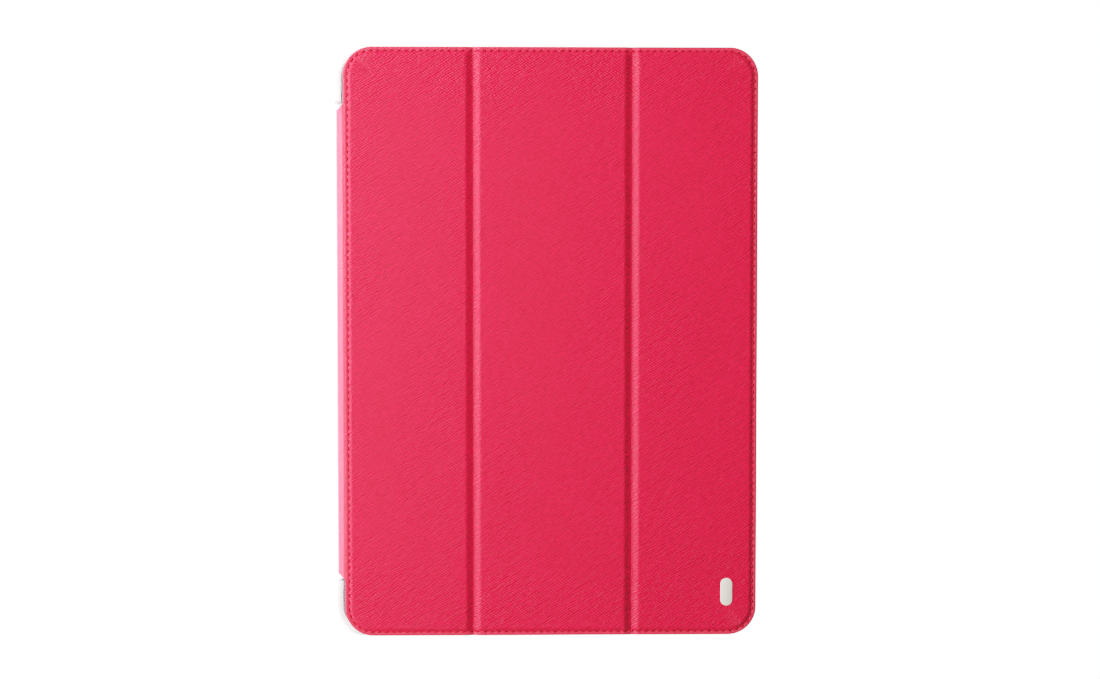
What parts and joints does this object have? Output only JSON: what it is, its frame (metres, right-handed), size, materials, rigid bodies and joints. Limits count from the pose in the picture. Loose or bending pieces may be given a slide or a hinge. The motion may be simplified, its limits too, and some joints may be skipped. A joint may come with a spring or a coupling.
{
  "type": "tablet folio case",
  "caption": "Folio case for a slim tablet: a clip-on plastic back tray and a padded leather cover with three stiff panels, joined by a soft spine.",
  "frame": {"origin": "centre of the tray's outer back face, which the closed case lies on; also under the middle of the tablet and of the whole case", "axes": "+X towards the cover's free edge, +Y towards the tablet's top edge, +Z out of the closed front cover"},
  "size_m": [0.1756, 0.244, 0.0126],
  "materials": {
    "tray_plastic": "translucent white polycarbonate, softly frosted",
    "cover_leather": "cross-grain embossed, crimson pink, semi-gloss",
    "microfibre_lining": "brushed microfibre, warm grey",
    "panel_board": "raw grey board",
    "seam_thread": "waxed polyester thread, dark crimson",
    "keeper_steel": "thin strip steel",
    "magnet_nickel": "nickel-plated",
    "adhesive_tape": "double-sided tape",
    "badge_enamel": "satin off-white"
  },
  "bodies": {
    "tray": {"back_shell": "tray_plastic", "spine_flange": "cover_leather", "flange_tape": "adhesive_tape"},
    "spine": {"spine_skin": "cover_leather", "spine_lining": "microfibre_lining"},
    "inner_panel": {"inner_panel_skin": "cover_leather", "inner_panel_board": "panel_board", "inner_panel_lining": "microfibre_lining", "inner_panel_thread": "seam_thread", "keeper_strip": "keeper_steel"},
    "middle_panel": {"middle_panel_skin": "cover_leather", "middle_panel_board": "panel_board", "middle_panel_lining": "microfibre_lining", "middle_panel_thread": "seam_thread"},
    "outer_panel": {"outer_panel_skin": "cover_leather", "outer_panel_board": "panel_board", "outer_panel_lining": "microfibre_lining", "outer_panel_thread": "seam_thread", "closure_magnets": "magnet_nickel", "sleep_magnet": "magnet_nickel", "corner_badge": "badge_enamel"}
  },
  "joints": [
    {"name": "spine_hinge", "type": "hinge", "parent": "tray", "child": "spine", "pos_m": [-0.08625, 0, 0.0028], "axis": [0, -1, 0], "range_deg": [0, 90]},
    {"name": "cover_hinge", "type": "hinge", "parent": "spine", "child": "inner_panel", "pos_m": [-0.0832, 0, 0.0115], "axis": [0, -1, 0], "range_deg": [0, 160]},
    {"name": "inner_fold", "type": "hinge", "parent": "inner_panel", "child": "middle_panel", "pos_m": [-0.0299, 0, 0.0115], "axis": [0, -1, 0], "range_deg": [0, 125]},
    {"name": "outer_fold", "type": "hinge", "parent": "middle_panel", "child": "outer_panel", "pos_m": [0.03565, 0, 0.0115], "axis": [0, -1, 0], "range_deg": [0, 135]}
  ]
}
